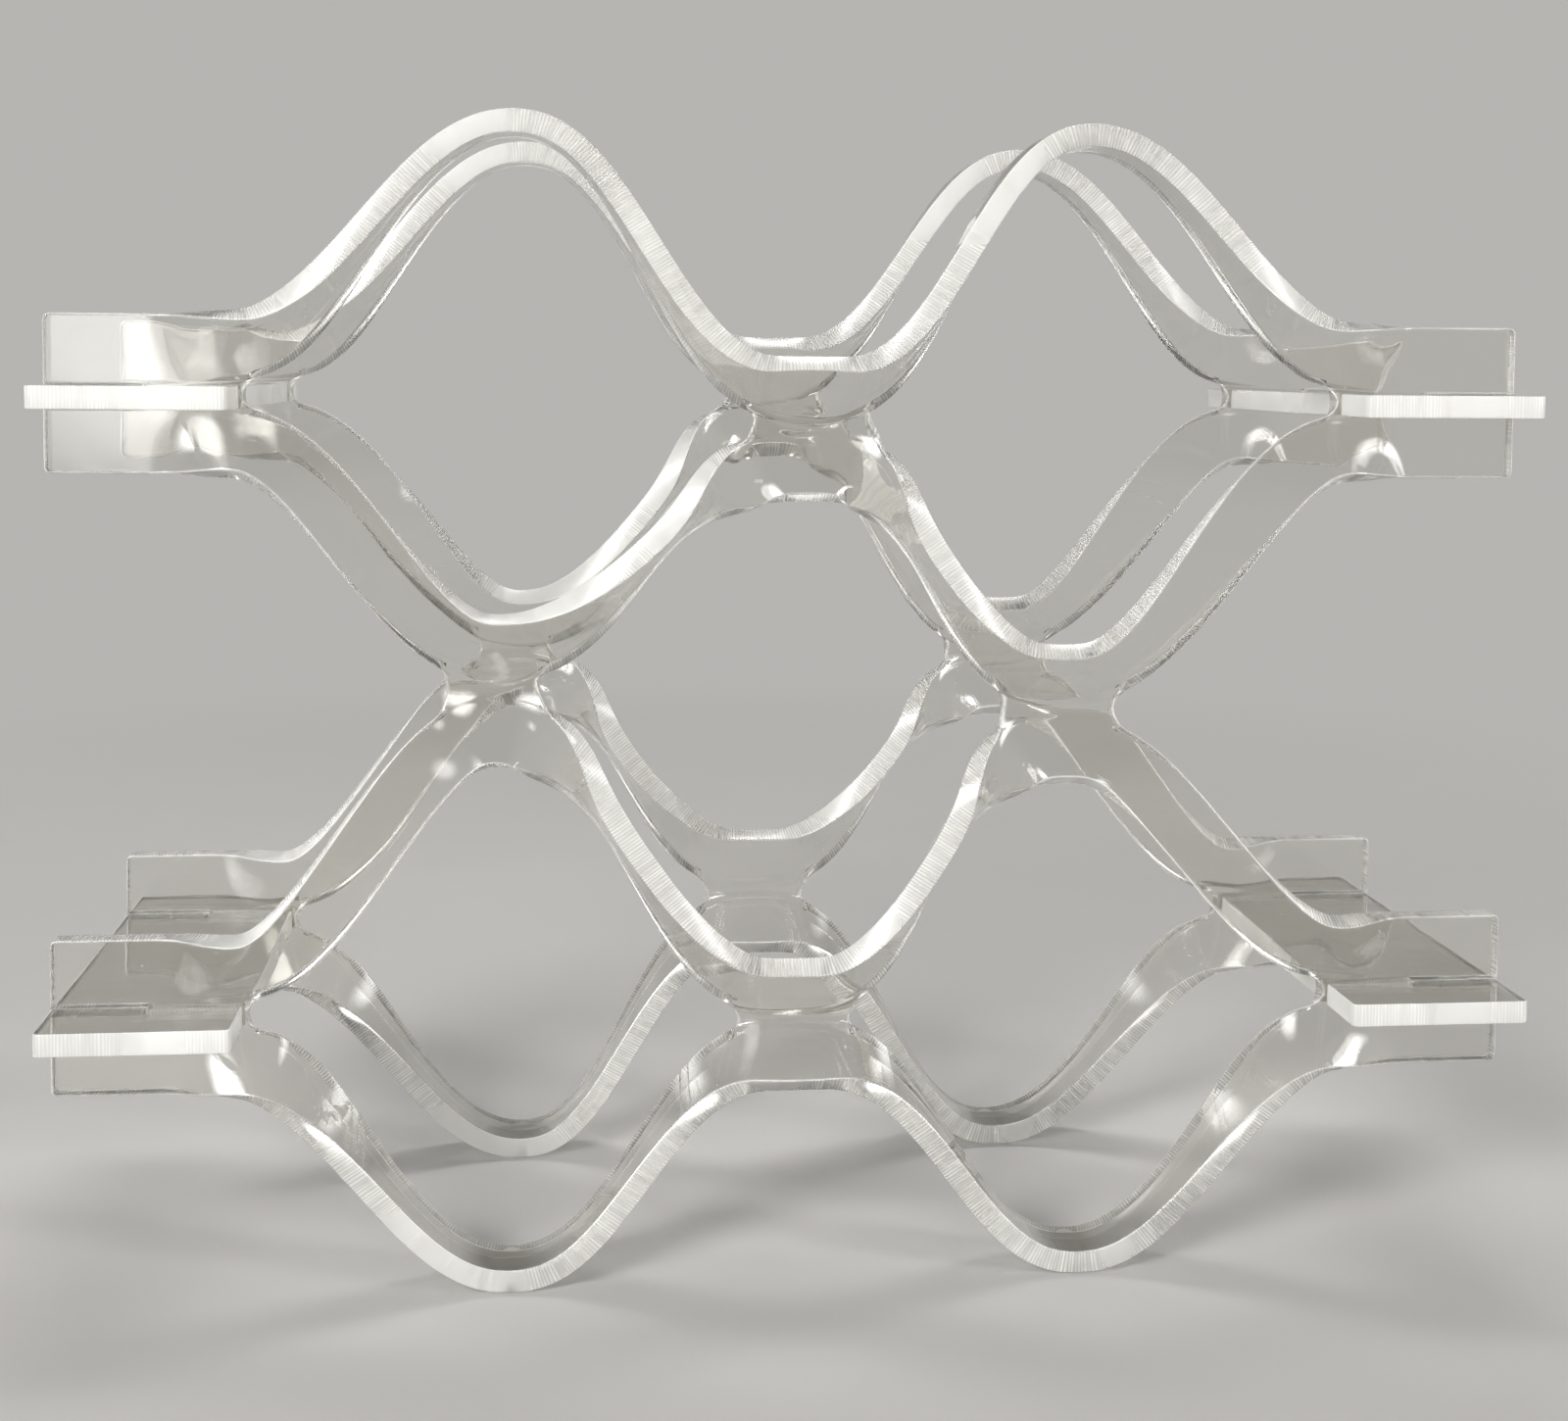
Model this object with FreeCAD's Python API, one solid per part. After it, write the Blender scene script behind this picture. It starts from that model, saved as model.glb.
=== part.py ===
import FreeCAD, Part
import math
import os
from collections import namedtuple

# Wine rack of clear acrylic sheet: two slit and expanded panels, tied together by four boards.
# X runs to the right, Y away from the viewer, Z up. The origin is on the floor, under the middle.
# All lengths are in millimetres and all angles in degrees.

# ---- the sheet that every piece is cut from ----
sheet = 6.35                # thickness
strip_width = 18.5          # each of the four strips of a panel
slit_width = 6.35           # the three rows of slits between the strips

# ---- overall sizes ----
rack_width = 412.0
panel_spacing = 101.6       # front face to front face
lower_level = 77.4          # middle of the lower boards above the floor
upper_level = 248.6         # middle of the upper boards above the floor
tab_rise = 0.8              # a tab's middle is this far above its board's
top_level = 329.4           # highest crest above the floor
foot_press = 0.6            # how much of each lowest trough is pressed flat

# ---- tabs and boards ----
tab_length = 51.5           # outer end to slit
tab_flat_length = 30.0      # outer end to where the strips start to lean
tab_corner_bevel = 1.2
board_overhang = 21.0       # past the panels, in front and behind
board_corner_radius = 1.0
joint_clearance = 0.1       # on each side of a slot
slot_end_clearance = 0.2    # at the bottom of a slot

# ---- how the strips bend ----
root_lean_outward = 23.0    # lean of the first and third strip where a tab's slit ends
root_lean_inward = 25.0     # the same for the second and fourth
root_lift = 1.5             # how far a strip has moved off the slit there
neck_set_back = 6.5         # the fold of a neck lies this far behind the middle of the sheet
neck_lead = 7.0             # strips start to part this far inside the ends of a neck
edge_on = 90.0              # lean of the outer strips at their crests and troughs
mid_leg_lean = 79.0         # largest lean of the inner strips between two necks
mid_leg_place = 0.59        # where on the way that is, from the neck leaning the same way
third_root_leg_lean = 6.0  # the third strip between a tab and its neck
bend_reach = 10.0           # every bend is spread over at least this much of a strip

# Sharpness is 1 for a plain half wave, and more where the slope between the ends is steeper.
# Skew is 1 where both ends are alike, and less where the change comes early from the tab's side.
Way = namedtuple("Way", "sharpness skew")
plain_way = Way(1.0, 1.0)
outer_from_tab = Way(1.06, 0.9)
outer_between = Way(1.16, 1.0)
inner_from_tab = Way(0.96, 0.98)
inner_between = Way(1.07, 1.0)
outer_turning = Way(1.37, 0.46)

# A neck is where two strips stay joined: its fold's place, its width, and how far
# the strip above and the strip below lean forward from upright.
Neck = namedtuple("Neck", "x z width lean_above lean_below")
Crest = namedtuple("Crest", "x z")          # outermost point of a free arch or trough
Form = namedtuple("Form", "left centre_high right centre_low crest_left crest_right trough_left trough_right")

front_form = Form(
    left=Neck(-85.5, 167.1, 17.0, 20.0, 20.0),
    centre_high=Neck(2.5, 240.9, 27.0, 36.0, 23.0),
    right=Neck(75.5, 160.0, 24.0, 35.0, 28.0),
    centre_low=Neck(-0.5, 72.3, 27.5, 39.0, 43.0),
    crest_left=Crest(-80.5, top_level - 2.0),
    crest_right=Crest(80.0, top_level - 2.9),
    trough_left=Crest(-81.0, -foot_press),
    trough_right=Crest(81.0, -foot_press),
)
back_form = Form(
    left=Neck(-81.0, 166.6, 17.0, 41.0, 45.0),
    centre_high=Neck(1.5, 247.9, 24.0, 32.0, 43.0),
    right=Neck(77.0, 163.3, 25.0, 40.0, 32.0),
    centre_low=Neck(-3.0, 84.2, 26.0, 21.0, 46.0),
    crest_left=Crest(-79.5, top_level - 0.4),
    crest_right=Crest(81.0, top_level),
    trough_left=Crest(-80.0, -foot_press),
    trough_right=Crest(77.0, -foot_press),
)

# ---- worked out from the sizes above ----
half_width = rack_width / 2
slit_x = half_width - tab_length            # where the slits of a tab end
flat_x = half_width - tab_flat_length       # where the strips of a tab start to lean
row_pitch = strip_width + slit_width        # from one strip's middle to the next, in the flat sheet
tab_height = 2 * strip_width + slit_width
rack_depth = panel_spacing + sheet + 2 * board_overhang
front_face = -rack_depth / 2 + board_overhang
notch_radius = slit_width / 2               # round end of a slit
mid_sheet = sheet / 2
far_out = 2 * rack_width                    # reach of the cutting blocks
rail_step = 5.0                             # spacing of the points along a strip
shortest_reach = 0.5                        # two points of a rail are never closer than this
length_slack = 0.01                         # for telling edges by their length
row_facets = 8                              # faces across a bent slit row
bend_samples = 8                            # steps in which a bend is averaged
front, back = -1, 1
top, bottom = 1, -1


def ease(u, way):
    """Goes smoothly from 0 to 1, level at both ends. A negative skew mirrors the early change."""
    u = min(max(u, 0.0), 1.0)
    u = u ** way.skew if way.skew > 0 else 1 - (1 - u) ** -way.skew
    half_wave = 0.5 - 0.5 * math.cos(math.pi * u)
    rise = half_wave ** way.sharpness
    return rise / (rise + (1 - half_wave) ** way.sharpness)


def mirrored(way):
    return Way(way.sharpness, -way.skew)


class Track:
    """A value that eases from stop to stop along X. A stop is (x, value, way of the change up to it)."""

    def __init__(self, stops):
        self.stops = stops

    def at(self, x):
        """The eased value, averaged over the reach of a bend, as heated sheet makes no sharp turns."""
        spread = [bend_reach * (i / bend_samples - 0.5) for i in range(bend_samples + 1)]
        return sum(self.eased(x + shift) for shift in spread) / len(spread)

    def eased(self, x):
        before = self.stops[0]
        for stop in self.stops[1:]:
            if x <= stop[0]:
                u = (x - before[0]) / (stop[0] - before[0])
                return before[1] + (stop[1] - before[1]) * ease(u, stop[2])
            before = stop
        return before[1]


class Strip:
    """One strip of a panel, made of stops (x, y, z, lean, way, lean way)."""

    def __init__(self, stops):
        self.y = Track([(x, y, plain_way) for x, y, z, lean, way, lean_way in stops if y is not None])
        self.z = Track([(x, z, way) for x, y, z, lean, way, lean_way in stops if z is not None])
        self.lean = Track([(x, lean, lean_way) for x, y, z, lean, way, lean_way in stops])
        self.marks = [stop[0] for stop in stops]

    def middle(self, x):
        return FreeCAD.Vector(x, self.y.at(x), self.z.at(x))

    def directions(self, x):
        """Unit vectors along the strip, across its width (upwards) and through its sheet (backwards)."""
        probe = 0.05
        along = (self.middle(x + probe) - self.middle(x - probe)).normalize()
        upright = along.cross(FreeCAD.Vector(0, 1, 0)).normalize()
        backward = upright.cross(along)
        lean = math.radians(self.lean.at(x))
        across = upright * math.cos(lean) - backward * math.sin(lean)
        through = backward * math.cos(lean) + upright * math.sin(lean)
        return along, across, through

    def corner(self, x, edge, face):
        """A corner of the cross-section, such as the top edge's front one."""
        _, across, through = self.directions(x)
        return self.middle(x) + across * edge * strip_width / 2 + through * face * sheet / 2


def row_corner(above, below, x, fraction, face):
    """A point on the front or back of the row between two joined strips, at a fraction of the way
    down it. The row is bent along an arc that leaves each strip straight."""
    along_above, across_above, _ = above.directions(x)
    along_below, across_below, _ = below.directions(x)
    start = above.middle(x) - across_above * strip_width / 2
    end = below.middle(x) + across_below * strip_width / 2
    fold = across_above.getAngle(across_below)
    handle = (end - start).Length / 3
    if fold > 0.01:
        handle = 4 / 3 * math.tan(fold / 4) * (end - start).Length / (2 * math.sin(fold / 2))
    after_start = start - across_above * handle
    before_end = end + across_below * handle
    rest = 1 - fraction
    middle = (start * rest ** 3 + after_start * 3 * rest ** 2 * fraction
              + before_end * 3 * rest * fraction ** 2 + end * fraction ** 3)
    down = ((after_start - start) * rest ** 2 + (before_end - after_start) * 2 * rest * fraction
            + (end - before_end) * fraction ** 2)
    through = (along_above + along_below).cross(down).normalize()
    return middle + through * face * sheet / 2


def flat_row_corner(above, below, x, fraction, face):
    """The same in a tab, where the row stays flat inside the board's slot."""
    point = above.corner(x, bottom, face) * (1 - fraction) + below.corner(x, top, face) * fraction
    point.y = mid_sheet + face * sheet / 2
    return point


def rail_through(points, places):
    """A smooth curve through points at these places along X. Rails are measured by X, so that the
    ruled faces between them don't shear."""
    rail = Part.BSplineCurve()
    slope_in = (points[1] - points[0]) * (1 / (places[1] - places[0]))
    slope_out = (points[-1] - points[-2]) * (1 / (places[-1] - places[-2]))
    rail.interpolate(Points=points, Parameters=places, InitialTangent=slope_in, FinalTangent=slope_out,
                     Scale=False)
    return rail


def places_between(x_from, x_to, marks):
    """Places from end to end, no further apart than the rail step, with one at each mark."""
    inner = sorted(set(round(x, 3) for x in marks if x_from + shortest_reach < x < x_to - shortest_reach))
    ends = [x_from] + inner + [x_to]
    places = [x_from]
    for start, end in zip(ends, ends[1:]):
        count = max(1, math.ceil((end - start) / rail_step))
        places += [start + (end - start) * (i + 1) / count for i in range(count)]
    return places


def ruled(rail_a, reach_a, rail_b, reach_b):
    """The face swept by a straight line between two rails, each over its own reach along X."""
    return swept_between(rail_a.toShape(*reach_a), rail_b.toShape(*reach_b))


def swept_between(edge_a, edge_b):
    """A ruled face that starts at both edges' starts, however far it twists on the way."""
    keep_directions = 1
    return Part.makeRuledSurface(edge_a, edge_b, keep_directions)


class Row:
    """The part of a slit row, from x_from to x_to, where the strips above and below stay joined.
    An end at a slit is a round notch, and an end at a tab's outer end is straight."""

    def __init__(self, above, below, x_from, x_to):
        self.above, self.below = above, below
        self.x_from, self.x_to = x_from, x_to

    def reach(self, i):
        """How far along X the row's rail number i goes."""
        cut_back = notch_radius * math.sin(math.pi * i / row_facets)
        at_left = self.x_from + (cut_back if self.x_from > -half_width else 0)
        at_right = self.x_to - (cut_back if self.x_to < half_width else 0)
        return at_left, at_right

    def faces(self, above_rails, below_rails):
        """The row's front and back faces, and those in its notches."""
        rails = [above_rails[bottom]]
        for i in range(1, row_facets):
            places = places_between(*self.reach(i), self.above.marks + self.below.marks)
            fraction = (1 - math.cos(math.pi * i / row_facets)) / 2
            pair = {}
            corner = row_corner if abs(self.x_from) + abs(self.x_to) < 2 * slit_x else flat_row_corner
            for face in (front, back):
                points = [corner(self.above, self.below, x, fraction, face) for x in places]
                pair[face] = rail_through(points, places)
            rails.append(pair)
        rails.append(below_rails[top])
        faces = []
        for i in range(row_facets):
            for face in (front, back):
                faces.append(ruled(rails[i][face], self.reach(i), rails[i + 1][face], self.reach(i + 1)))
            for end, outer_x in ((0, -half_width), (1, half_width)):
                if self.reach(i)[end] != outer_x:
                    lines = []
                    for face in (front, back):
                        start = rails[i][face].value(self.reach(i)[end])
                        stop = rails[i + 1][face].value(self.reach(i + 1)[end])
                        lines.append(Part.makeLine(start, stop))
                    faces.append(swept_between(*lines))
        self.rails = rails
        return faces


def root_stop(level, upper):
    """Y, Z and lean of a strip where a tab's slit ends, with its edge still beside the slit."""
    lean = root_lean_outward if upper else root_lean_inward
    side = 1 if upper else -1
    y = mid_sheet - strip_width / 2 * math.sin(math.radians(lean))
    from_slit = strip_width / 2 * math.cos(math.radians(lean)) + root_lift
    return y, level + side * (slit_width / 2 + from_slit), side * lean


def neck_stop(neck, upper):
    """Y, Z and lean of the strip above or below a neck. The slit row between them is bent to an arc."""
    arc_radius = slit_width / math.radians(neck.lean_above + neck.lean_below)
    lean = neck.lean_above if upper else neck.lean_below
    side = 1 if upper else -1
    turn = math.radians(lean)
    y = mid_sheet + neck_set_back - arc_radius * (1 - math.cos(turn)) - strip_width / 2 * math.sin(turn)
    z = neck.z + side * (arc_radius * math.sin(turn) + strip_width / 2 * math.cos(turn))
    return y, z, side * lean


def tab_stops(level, upper, way, lean_way):
    """The stops of a strip in the left tab, and those in the right tab in the same order along X."""
    tab_z = level + (row_pitch if upper else -row_pitch) / 2
    root = root_stop(level, upper)
    left = [(-half_width, mid_sheet, tab_z, 0.0, None, None),
            (-flat_x, mid_sheet, tab_z, 0.0, plain_way, plain_way),
            (-slit_x, *root, plain_way, plain_way)]
    right = [(slit_x, *root, mirrored(way), mirrored(lean_way)),
             (flat_x, mid_sheet, tab_z, 0.0, plain_way, plain_way),
             (half_width, mid_sheet, tab_z, 0.0, plain_way, plain_way)]
    return left, right


def outer_strip(level, upper, crest_left, neck, crest_right):
    """The first or the fourth strip: from its tab over a free crest or trough, by a neck and over
    another. At a crest the strip is edge-on, with its outer edge forward."""
    side = 1 if upper else -1
    left, right = tab_stops(level, upper, outer_from_tab, outer_turning)
    neck_at = neck_stop(neck, upper)
    half_flat = neck.width / 2 - neck_lead
    crests = [(crest.x, mid_sheet, crest.z - side * sheet / 2, side * edge_on)
              for crest in (crest_left, crest_right)]
    return Strip(left + [
        (*crests[0], outer_from_tab, outer_turning),
        (neck.x - half_flat, *neck_at, outer_between, mirrored(outer_turning)),
        (neck.x + half_flat, *neck_at, plain_way, plain_way),
        (*crests[1], outer_between, outer_turning),
    ] + right)


def inner_strip(level, upper, necks):
    """The second or the third strip: it joins its neighbours in turn at three necks. Between two necks
    it is turned nearly edge-on, with its upper edge forward."""
    left, right = tab_stops(level, upper, inner_from_tab, plain_way)
    stops = list(left)
    for number, (neck, above) in enumerate(necks):
        neck_at = neck_stop(neck, above)
        half_flat = neck.width / 2 - neck_lead
        start, before = neck.x - half_flat, stops[-1][0]
        if number > 0:
            share = mid_leg_place if stops[-1][3] > 0 else 1 - mid_leg_place
            stops.append((before + (start - before) * share, None, None, mid_leg_lean, None, plain_way))
        elif upper:
            stops.append(((before + start) / 2, None, None, third_root_leg_lean, None, plain_way))
        stops.append((start, *neck_at, inner_from_tab if number == 0 else inner_between, plain_way))
        stops.append((neck.x + half_flat, *neck_at, plain_way, plain_way))
    if upper:
        middle = (stops[-1][0] + slit_x) / 2
        stops.append((middle, None, None, third_root_leg_lean, None, plain_way))
    return Strip(stops + right)


def row_between(above, below, neck):
    reach = neck.width / 2 + notch_radius
    return Row(above, below, neck.x - reach, neck.x + reach)


def tab_rows(above, below):
    inner_x = slit_x - notch_radius
    return [Row(above, below, -half_width, -inner_x), Row(above, below, inner_x, half_width)]


def strip_faces(rails, breaks, top_joined, bottom_joined):
    """The four long faces of a strip, cut at the breaks, without its edges where it is joined."""
    faces = []
    for reach in zip(breaks, breaks[1:]):
        middle = sum(reach) / 2
        for face in (front, back):
            faces.append(ruled(rails[top][face], reach, rails[bottom][face], reach))
        for edge, joined in ((top, top_joined), (bottom, bottom_joined)):
            if not any(row.x_from < middle < row.x_to for row in joined):
                faces.append(ruled(rails[edge][front], reach, rails[edge][back], reach))
    return faces


def end_faces(x, strips_rails, rows_by_level):
    """The flat outer ends of both tabs on one side."""
    faces = []
    for first, joined in rows_by_level:
        row = [r for r in joined if x in (r.x_from, r.x_to)][0]
        pairs = [strips_rails[first][top]] + row.rails + [strips_rails[first + 1][bottom]]
        down = [pair[front].value(x) for pair in pairs]
        up = [pair[back].value(x) for pair in reversed(pairs)]
        faces.append(Part.Face(Part.makePolygon(down + up + down[:1])))
    return faces


def panel(form):
    """One slit and expanded sheet, with the front of its tabs at Y = 0."""
    high, low = upper_level + tab_rise, lower_level + tab_rise
    strips = [
        outer_strip(high, True, form.crest_left, form.centre_high, form.crest_right),
        inner_strip(high, False, [(form.left, True), (form.centre_high, False), (form.right, True)]),
        inner_strip(low, True, [(form.left, False), (form.centre_low, True), (form.right, False)]),
        outer_strip(low, False, form.trough_left, form.centre_low, form.trough_right),
    ]
    rows = [
        tab_rows(strips[0], strips[1]) + [row_between(strips[0], strips[1], form.centre_high)],
        [row_between(strips[1], strips[2], neck) for neck in (form.left, form.right)],
        tab_rows(strips[2], strips[3]) + [row_between(strips[2], strips[3], form.centre_low)],
    ]
    rails = []
    for strip in strips:
        places = places_between(-half_width, half_width, strip.marks)
        rails.append({edge: {face: rail_through([strip.corner(x, edge, face) for x in places], places)
                             for face in (front, back)} for edge in (top, bottom)})
    faces = []
    for number, strip_rails in enumerate(rails):
        above = rows[number - 1] if number > 0 else []
        below = rows[number] if number < len(rows) else []
        ends = [x for row in above + below for x in (row.x_from, row.x_to)]
        breaks = sorted(set(ends + [-half_width, half_width]))
        faces += strip_faces(strip_rails, breaks, above, below)
    for number, joined in enumerate(rows):
        for row in joined:
            faces += row.faces(rails[number], rails[number + 1])
    for x in (-half_width, half_width):
        faces += end_faces(x, rails, ((0, rows[0]), (2, rows[2])))
    shell = Part.makeShell(faces)
    shell.sewShape()
    solid = Part.Solid(shell)
    return solid if solid.Volume > 0 else solid.reversed()


def corner_cutter(x_side, z, z_side):
    """What a tab's outer corner at height z loses to its bevel, and some air beyond it."""
    beyond = 1.0
    start = tab_corner_bevel + beyond
    corners = [(half_width - start, beyond), (half_width + beyond, beyond), (half_width + beyond, -start)]
    points = [FreeCAD.Vector(x_side * x, -sheet, z + z_side * dz) for x, dz in corners]
    outline = Part.Face(Part.makePolygon(points + points[:1]))
    return outline.extrude(FreeCAD.Vector(0, 3 * sheet, 0))


def board(side, level):
    """A bar from front to back, slotted from its inner edge past the middle of the tabs. side is -1 on
    the left, 1 on the right."""
    bar = Part.makeBox(tab_length, rack_depth, sheet)
    bar.translate(FreeCAD.Vector(slit_x, -rack_depth / 2, level - sheet / 2))
    upright_edges = [edge for edge in bar.Edges if edge.BoundBox.ZLength > sheet - length_slack]
    bar = bar.makeFillet(board_corner_radius, upright_edges)
    slot_end = slit_x + tab_length / 2 + slot_end_clearance
    for y_front in (front_face, front_face + panel_spacing):
        slot = Part.makeBox(far_out, sheet + 2 * joint_clearance, far_out)
        slot.translate(FreeCAD.Vector(slot_end - far_out, y_front - joint_clearance, level - far_out / 2))
        bar = bar.cut(slot)
    if side < 0:
        bar = bar.mirror(FreeCAD.Vector(0, 0, 0), FreeCAD.Vector(1, 0, 0))
    return bar


def tab_slot(side, level):
    """Cutter for a tab's slot, from its outer end to its middle, which a board passes through."""
    slot = Part.makeBox(tab_length / 2 + far_out, far_out, sheet + 2 * joint_clearance)
    x_low = half_width - tab_length / 2 if side > 0 else -half_width + tab_length / 2 - slot.BoundBox.XLength
    slot.translate(FreeCAD.Vector(x_low, -far_out / 2, level - sheet / 2 - joint_clearance))
    return slot


def fitted_panel(form, y_front):
    """A panel with bevelled tab corners, slots for the boards, and feet pressed flat on the floor."""
    whole = panel(form)
    cutters = []
    for x_side in (-1, 1):
        for level in (lower_level, upper_level):
            for z_side in (-1, 1):
                z = level + tab_rise + z_side * tab_height / 2
                cutters.append(corner_cutter(x_side, z, z_side))
            cutters.append(tab_slot(x_side, level))
    floor = Part.makeBox(far_out, far_out, far_out)
    floor.translate(FreeCAD.Vector(-far_out / 2, -far_out / 2, -far_out))
    whole = whole.cut(cutters + [floor])
    whole.translate(FreeCAD.Vector(0, y_front, 0))
    return whole


def save(shape, node):
    solid = shape.Solids[0] if len(shape.Solids) == 1 else shape
    print(node, "solids", len(shape.Solids), "valid", shape.isValid(), "volume", round(shape.Volume))
    solid.exportStep("parts/" + node + ".step")


os.makedirs("parts", exist_ok=True)
save(fitted_panel(front_form, front_face), "front_panel")
save(fitted_panel(back_form, front_face + panel_spacing), "back_panel")
save(board(-1, upper_level), "upper_left_board")
save(board(1, upper_level), "upper_right_board")
save(board(-1, lower_level), "lower_left_board")
save(board(1, lower_level), "lower_right_board")
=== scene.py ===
import math

import bpy
import numpy as np
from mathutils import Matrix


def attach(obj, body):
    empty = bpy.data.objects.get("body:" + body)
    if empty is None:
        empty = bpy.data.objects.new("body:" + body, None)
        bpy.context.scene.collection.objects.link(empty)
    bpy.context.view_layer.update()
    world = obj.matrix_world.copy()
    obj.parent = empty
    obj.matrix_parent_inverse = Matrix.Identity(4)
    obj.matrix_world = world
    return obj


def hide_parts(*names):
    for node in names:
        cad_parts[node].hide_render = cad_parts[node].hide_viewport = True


# A wine rack of clear acrylic sheet. Each panel is drawn as a flat slit sheet and bent to its lattice,
# as a thick piece with softened cut edges. The four boards are flat. Lengths are in millimetres until
# a mesh is written, and angles are in degrees. Finishes, studio and camera are in metres.

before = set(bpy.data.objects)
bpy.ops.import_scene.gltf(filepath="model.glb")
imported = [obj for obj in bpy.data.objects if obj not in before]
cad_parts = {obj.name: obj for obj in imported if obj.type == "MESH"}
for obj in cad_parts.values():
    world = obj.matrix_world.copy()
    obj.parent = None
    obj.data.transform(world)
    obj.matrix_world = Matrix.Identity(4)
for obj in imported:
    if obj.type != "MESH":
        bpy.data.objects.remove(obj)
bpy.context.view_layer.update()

MM = 0.001

# ---- the sheet that every piece is cut from ----
sheet = 6.35
strip_width = 18.5
slit_width = 6.35
edge_softening = 0.45           # radius that flame polishing leaves along the cut edges

# ---- overall sizes ----
rack_width = 412.0
rack_depth = 149.95
panel_spacing = 101.6
lower_level = 77.4
upper_level = 248.6
tab_rise = 0.8
top_level = 329.4
foot_press = 0.6

# ---- tabs and boards ----
tab_length = 51.5
tab_flat_length = 30.0
tab_corner_radius = 1.8
board_corner_radius = 1.8
board_overhang = 21.0
joint_clearance = 0.1
slot_end_clearance = 0.2

# ---- how the strips bend ----
root_lean_outward = 23.0
root_lean_inward = 25.0
root_lift = 1.5
neck_set_back = 6.5
neck_lead = 7.0
edge_on = 90.0
mid_leg_lean = 79.0
mid_leg_place = 0.59
third_root_leg_lean = 6.0
bend_reach = 10.0               # every bend is spread over at least this much of a strip
bend_samples = 8

# Ways from stop to stop: (sharpness, skew)
plain_way = (1.0, 1.0)
outer_from_tab = (1.06, 0.9)
outer_between = (1.16, 1.0)
inner_from_tab = (0.96, 0.98)
inner_between = (1.07, 1.0)
outer_turning = (1.37, 0.46)

# Necks: (x, z, width, lean of the strip above, lean of the strip below). Crests: (x, z)
front_form = {
    "left": (-85.5, 167.1, 17.0, 20.0, 20.0),
    "centre_high": (2.5, 240.9, 27.0, 36.0, 23.0),
    "right": (75.5, 160.0, 24.0, 35.0, 28.0),
    "centre_low": (-0.5, 72.3, 27.5, 39.0, 43.0),
    "crests": ((-80.5, top_level - 2.0), (80.0, top_level - 2.9)),
    "troughs": ((-81.0, -foot_press), (81.0, -foot_press)),
}
back_form = {
    "left": (-81.0, 166.6, 17.0, 41.0, 45.0),
    "centre_high": (1.5, 247.9, 24.0, 32.0, 43.0),
    "right": (77.0, 163.3, 25.0, 40.0, 32.0),
    "centre_low": (-3.0, 84.2, 26.0, 21.0, 46.0),
    "crests": ((-79.5, top_level - 0.4), (81.0, top_level)),
    "troughs": ((-80.0, -foot_press), (77.0, -foot_press)),
}

# ---- worked out from the sizes above ----
half_width = rack_width / 2
half_depth = rack_depth / 2
half_strip = strip_width / 2
half_sheet = sheet / 2
slit_x = half_width - tab_length
flat_x = half_width - tab_flat_length
slot_x = half_width - tab_length / 2            # where a tab's slot ends
notch_radius = slit_width / 2
row_pitch = strip_width + slit_width
front_face = -half_depth + board_overhang

# ---- how finely the sheets are divided ----
station_step = 0.75             # along a strip
strip_lines = np.array([0.0, 0.5, 1.1, 2.4, 5.6, 9.25, 12.9, 16.1, 17.4, 18.0, 18.5])
board_step = 1.6
near_edge = np.array([0.5, 1.1])                # lines beside a board's edges and slots
notch_steps = 10                # round the end of a slit
notch_fade = 10.0               # how far from a notch the stations still bend round it
softening_steps = 3             # round a softened edge
easing_rounds = 12              # that spread a softened edge's pull over the cells inside it
same_place = 1e-6

# ---- how uneven the sheet and its cut edges are ----
face_waves = (14.0, 45.0, 9)            # shortest, longest, how many
edge_ripples = (5.0, 16.0, 12)
panel_heights = (0.02, 0.015)           # of the waves and of the ripples
board_heights = (0.01, 0.008)


# ------------------------------------------------------------------ the lines that the strips follow

def ease(u, way):
    """From 0 to 1, level at both ends: c^s / (c^s + (1-c)^s), where c is half a cosine wave of u
    raised to the skew. A negative skew is the same seen from the other end."""
    sharpness, skew = way
    u = np.clip(u, 0.0, 1.0)
    u = u ** skew if skew > 0 else 1 - (1 - u) ** -skew
    half_wave = 0.5 - 0.5 * np.cos(np.pi * u)
    rise = half_wave ** sharpness
    return rise / (rise + (1 - half_wave) ** sharpness)


def mirrored(way):
    """A way seen from its other end."""
    return way[0], -way[1]


def track(x, stops):
    """Values at x that ease from stop to stop, averaged over the reach of a bend, as heated sheet
    makes no sharp turns. A stop is (x, value, way of the change up to it)."""
    shifts = bend_reach * (np.arange(bend_samples + 1) / bend_samples - 0.5)
    spread = np.asarray(x)[..., None] + shifts
    value = np.full(spread.shape, float(stops[0][1]))
    for (start, low, _), (end, high, way) in zip(stops, stops[1:]):
        u = (spread - start) / (end - start)
        value = np.where(spread > start, low + (high - low) * ease(u, way), value)
    return value.mean(-1)


def unit(v):
    """Each vector divided by its length."""
    return v / np.linalg.norm(v, axis=-1, keepdims=True)


def strip_middle(strip, x):
    """The middle line of a strip: its Y and Z tracks over X."""
    y = track(x, [(at, y, plain_way) for at, y, _, _, _, _ in strip if y is not None])
    z = track(x, [(at, z, way) for at, _, z, _, way, _ in strip if z is not None])
    return np.stack([x, y, z], -1)


def strip_directions(strip, x):
    """Unit vectors along the strip, across it upwards, and through its sheet backwards. The upright
    square to the line is turned forward about the line by the strip's lean."""
    probe = 0.05
    along = unit(strip_middle(strip, x + probe) - strip_middle(strip, x - probe))
    upright = unit(np.cross(along, [0.0, 1.0, 0.0]))
    backward = np.cross(upright, along)
    lean = np.radians(track(x, [(at, lean, way) for at, _, _, lean, _, way in strip]))[..., None]
    across = upright * np.cos(lean) - backward * np.sin(lean)
    through = backward * np.cos(lean) + upright * np.sin(lean)
    return along, across, through


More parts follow.
